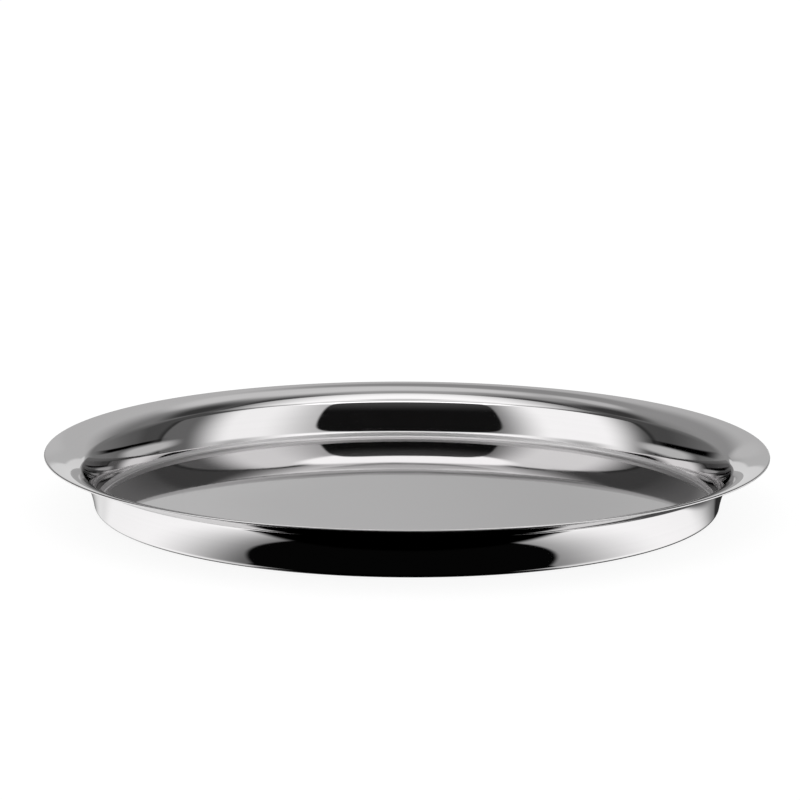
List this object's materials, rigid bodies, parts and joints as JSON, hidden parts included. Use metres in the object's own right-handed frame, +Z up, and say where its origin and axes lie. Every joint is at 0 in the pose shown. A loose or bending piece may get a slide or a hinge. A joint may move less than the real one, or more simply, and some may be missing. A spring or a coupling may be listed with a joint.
{
  "type": "shallow steel pan",
  "caption": "Shallow round pan of mirror-polished steel with a flat floor, a wall that flares out and a wide bowed rim, for serving or carrying food.",
  "frame": {"origin": "centre of the flat underside, on the pan's axis", "axes": "+Z up along the pan's axis, X and Y across it"},
  "size_m": [0.32, 0.32, 0.025],
  "materials": {
    "polished_steel": "polished to a mirror, with faint traces of the polishing"
  },
  "bodies": {
    "root": {"pan_body": "polished_steel"}
  },
  "joints": []
}
